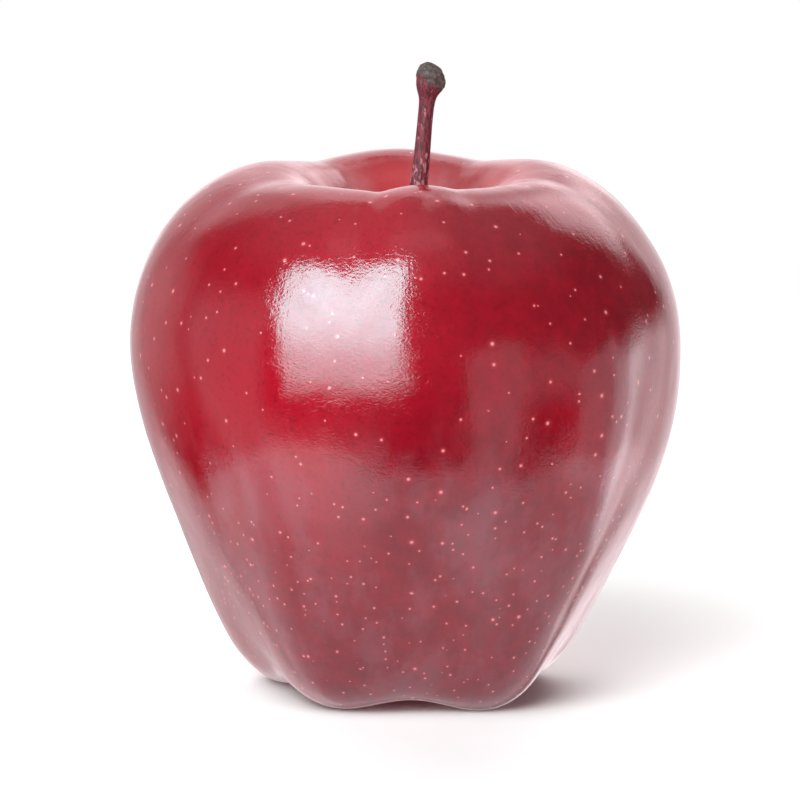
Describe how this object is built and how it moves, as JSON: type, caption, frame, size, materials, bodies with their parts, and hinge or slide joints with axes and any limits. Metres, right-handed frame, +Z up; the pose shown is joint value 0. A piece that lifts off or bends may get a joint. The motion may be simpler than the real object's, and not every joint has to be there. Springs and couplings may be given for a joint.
{
  "type": "red apple",
  "caption": "Whole ripe red apple of the tall, tapering, lobed kind, standing upright on its feet, with its stem and dried calyx.",
  "frame": {"origin": "on the resting plane, under the middle of the fruit's outline seen from above", "axes": "+Z up, from the calyx end to the stem end; -Y is the side that faces the viewer in the picture; +X to that viewer's right"},
  "size_m": [0.0794, 0.0794, 0.0921],
  "materials": {
    "skin": "glossy waxy skin, deep crimson with fine streaks and small pale spots",
    "stem": "dull reddish-brown bark",
    "calyx": "matt, dry and brown"
  },
  "bodies": {
    "root": {"fruit": "skin", "stem": "stem", "calyx": "calyx"}
  },
  "joints": []
}
